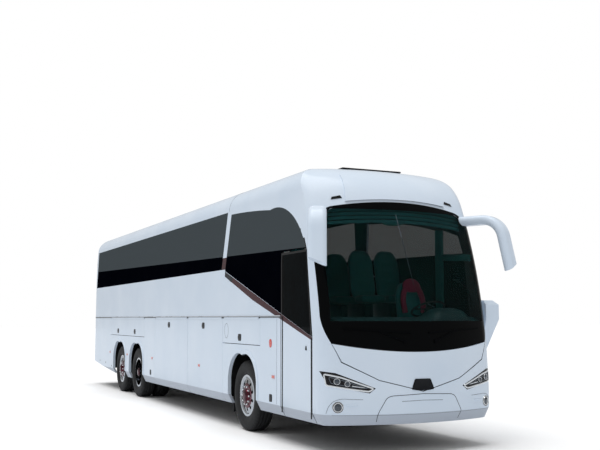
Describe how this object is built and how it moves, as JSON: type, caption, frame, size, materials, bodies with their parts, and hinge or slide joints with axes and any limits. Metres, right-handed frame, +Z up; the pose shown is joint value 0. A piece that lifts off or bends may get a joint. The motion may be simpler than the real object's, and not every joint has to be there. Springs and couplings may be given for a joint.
{
  "type": "coach bus",
  "caption": "Full-size three-axle touring coach with steered front wheels, twin drive wheels, swing-out entrance door, luggage doors, wheel flaps and an engine lid.",
  "frame": {"origin": "on the ground below the middle of the bus", "axes": "+X forwards along the bus, +Y to its left, +Z up"},
  "size_m": [14.0336, 3.1026, 3.7699],
  "materials": {
    "white_paint": "gloss",
    "tinted_glass": "gloss",
    "tyre_rubber": "matte",
    "polished_alloy": "polished",
    "lamp_clear": "gloss",
    "lamp_red": "gloss",
    "lamp_amber": "gloss",
    "chassis_black": "satin",
    "black_rubber": "matte",
    "dark_plastic": "matte",
    "seat_fabric": "matte",
    "floor_covering": "matte",
    "steel_tube": "satin",
    "rail_aluminium": "satin"
  },
  "bodies": {
    "root": {"side_wall_right": "white_paint", "side_wall_left": "white_paint", "side_skirts": "white_paint", "front_mask": "white_paint", "windshield": "tinted_glass", "bumper_centre": "white_paint", "front_lamps": "lamp_clear", "front_roof_cap": "white_paint", "roof_panel": "white_paint", "rear_wall": "white_paint", "rear_lamps": "lamp_red", "side_and_rear_windows": "tinted_glass", "hinge_rails": "rail_aluminium", "axle_beams": "chassis_black", "air_springs": "chassis_black", "chassis_frame": "chassis_black", "engine_block": "chassis_black", "floor_deck": "floor_covering", "entrance_steps": "floor_covering", "luggage_hold": "chassis_black", "front_wheel_houses": "chassis_black", "rear_wheel_houses": "chassis_black", "mudflaps": "black_rubber", "mirrors": "white_paint", "marker_lamps": "lamp_amber", "dashboard": "dark_plastic", "steering_wheel": "dark_plastic", "wipers": "dark_plastic", "seats": "seat_fabric", "front_bulkhead": "steel_tube"},
    "knuckle_right": {"steering_knuckle_right": "chassis_black"},
    "knuckle_left": {"steering_knuckle_left": "chassis_black"},
    "front_wheel_right": {"front_tyre_right": "tyre_rubber", "front_rim_right": "polished_alloy"},
    "drive_wheels_right": {"drive_tyres_right": "tyre_rubber", "drive_rims_right": "polished_alloy"},
    "tag_wheel_right": {"tag_tyre_right": "tyre_rubber", "tag_rim_right": "polished_alloy"},
    "front_wheel_left": {"front_tyre_left": "tyre_rubber", "front_rim_left": "polished_alloy"},
    "drive_wheels_left": {"drive_tyres_left": "tyre_rubber", "drive_rims_left": "polished_alloy"},
    "tag_wheel_left": {"tag_tyre_left": "tyre_rubber", "tag_rim_left": "polished_alloy"},
    "luggage_door_rear_right": {"luggage_door_rear_right": "white_paint"},
    "luggage_door_front_right": {"luggage_door_front_right": "white_paint"},
    "wheel_flap_rear_right": {"wheel_flap_rear_right": "white_paint"},
    "wheel_flap_front_right": {"wheel_flap_front_right": "white_paint"},
    "luggage_door_rear_left": {"luggage_door_rear_left": "white_paint"},
    "luggage_door_front_left": {"luggage_door_front_left": "white_paint"},
    "wheel_flap_rear_left": {"wheel_flap_rear_left": "white_paint"},
    "wheel_flap_front_left": {"wheel_flap_front_left": "white_paint"},
    "engine_lid": {"engine_lid": "white_paint"},
    "door_arm": {"door_arm": "steel_tube"},
    "entrance_door": {"entrance_door": "white_paint", "entrance_door_glass": "tinted_glass"},
    "flap_arms": {"flap_arms": "steel_tube"},
    "service_flap": {"service_flap": "white_paint"}
  },
  "joints": [
    {"name": "steer_right", "type": "hinge", "parent": "root", "child": "knuckle_right", "pos_m": [3.97, -0.87, 0.52], "axis": [0, 0, 1], "range_deg": [-45, 45]},
    {"name": "steer_left", "type": "hinge", "parent": "root", "child": "knuckle_left", "pos_m": [3.97, 0.87, 0.52], "axis": [0, 0, 1], "range_deg": [-45, 45]},
    {"name": "roll_front_right", "type": "hinge", "parent": "knuckle_right", "child": "front_wheel_right", "pos_m": [3.97, -1.075, 0.52], "axis": [0, 1, 0], "continuous": true},
    {"name": "roll_drive_right", "type": "hinge", "parent": "root", "child": "drive_wheels_right", "pos_m": [-2.45, -1.092, 0.52], "axis": [0, 1, 0], "continuous": true},
    {"name": "roll_tag_right", "type": "hinge", "parent": "root", "child": "tag_wheel_right", "pos_m": [-4, -1.08, 0.52], "axis": [0, 1, 0], "continuous": true},
    {"name": "roll_front_left", "type": "hinge", "parent": "knuckle_left", "child": "front_wheel_left", "pos_m": [3.97, 1.075, 0.52], "axis": [0, 1, 0], "continuous": true},
    {"name": "roll_drive_left", "type": "hinge", "parent": "root", "child": "drive_wheels_left", "pos_m": [-2.45, 1.092, 0.52], "axis": [0, 1, 0], "continuous": true},
    {"name": "roll_tag_left", "type": "hinge", "parent": "root", "child": "tag_wheel_left", "pos_m": [-4, 1.08, 0.52], "axis": [0, 1, 0], "continuous": true},
    {"name": "luggage_door_rear_right_hinge", "type": "hinge", "parent": "root", "child": "luggage_door_rear_right", "pos_m": [0.14, -1.277, 1.69], "axis": [-1, 0, 0], "range_deg": [0, 90]},
    {"name": "luggage_door_front_right_hinge", "type": "hinge", "parent": "root", "child": "luggage_door_front_right", "pos_m": [2.165, -1.277, 1.69], "axis": [-1, 0, 0], "range_deg": [0, 90]},
    {"name": "wheel_flap_rear_right_hinge", "type": "hinge", "parent": "root", "child": "wheel_flap_rear_right", "pos_m": [-3.335, -1.277, 1.69], "axis": [-1, 0, 0], "range_deg": [0, 90]},
    {"name": "wheel_flap_front_right_hinge", "type": "hinge", "parent": "root", "child": "wheel_flap_front_right", "pos_m": [3.895, -1.277, 1.69], "axis": [-1, 0, 0], "range_deg": [0, 90]},
    {"name": "luggage_door_rear_left_hinge", "type": "hinge", "parent": "root", "child": "luggage_door_rear_left", "pos_m": [0.14, 1.277, 1.69], "axis": [1, 0, 0], "range_deg": [0, 90]},
    {"name": "luggage_door_front_left_hinge", "type": "hinge", "parent": "root", "child": "luggage_door_front_left", "pos_m": [2.165, 1.277, 1.69], "axis": [1, 0, 0], "range_deg": [0, 90]},
    {"name": "wheel_flap_rear_left_hinge", "type": "hinge", "parent": "root", "child": "wheel_flap_rear_left", "pos_m": [-3.335, 1.277, 1.69], "axis": [1, 0, 0], "range_deg": [0, 90]},
    {"name": "wheel_flap_front_left_hinge", "type": "hinge", "parent": "root", "child": "wheel_flap_front_left", "pos_m": [3.895, 1.277, 1.69], "axis": [1, 0, 0], "range_deg": [0, 90]},
    {"name": "engine_lid_hinge", "type": "hinge", "parent": "root", "child": "engine_lid", "pos_m": [-6.953, 0, 1.69], "axis": [0, 1, 0], "range_deg": [0, 75]},
    {"name": "door_arm_swing", "type": "hinge", "parent": "root", "child": "door_arm", "pos_m": [6.365, -1.125, 1.05], "axis": [0, 0, 1], "range_deg": [0, 96]},
    {"name": "door_turn", "type": "hinge", "parent": "door_arm", "child": "entrance_door", "pos_m": [5.805, -1.125, 1.05], "axis": [0, 0, 1], "range_deg": [-96, 0]},
    {"name": "service_flap_lift", "type": "hinge", "parent": "root", "child": "flap_arms", "pos_m": [6.72, 0, 1.13], "axis": [0, -1, 0], "range_deg": [0, 105]},
    {"name": "service_flap_level", "type": "hinge", "parent": "flap_arms", "child": "service_flap", "pos_m": [6.68953, 0, 0.88186], "axis": [0, -1, 0], "range_deg": [-105, 0]}
  ],
  "couplings": [
    {"joint": "steer_left", "follows": "steer_right", "ratio": 1},
    {"joint": "door_turn", "follows": "door_arm_swing", "ratio": -1},
    {"joint": "service_flap_level", "follows": "service_flap_lift", "ratio": -1}
  ]
}
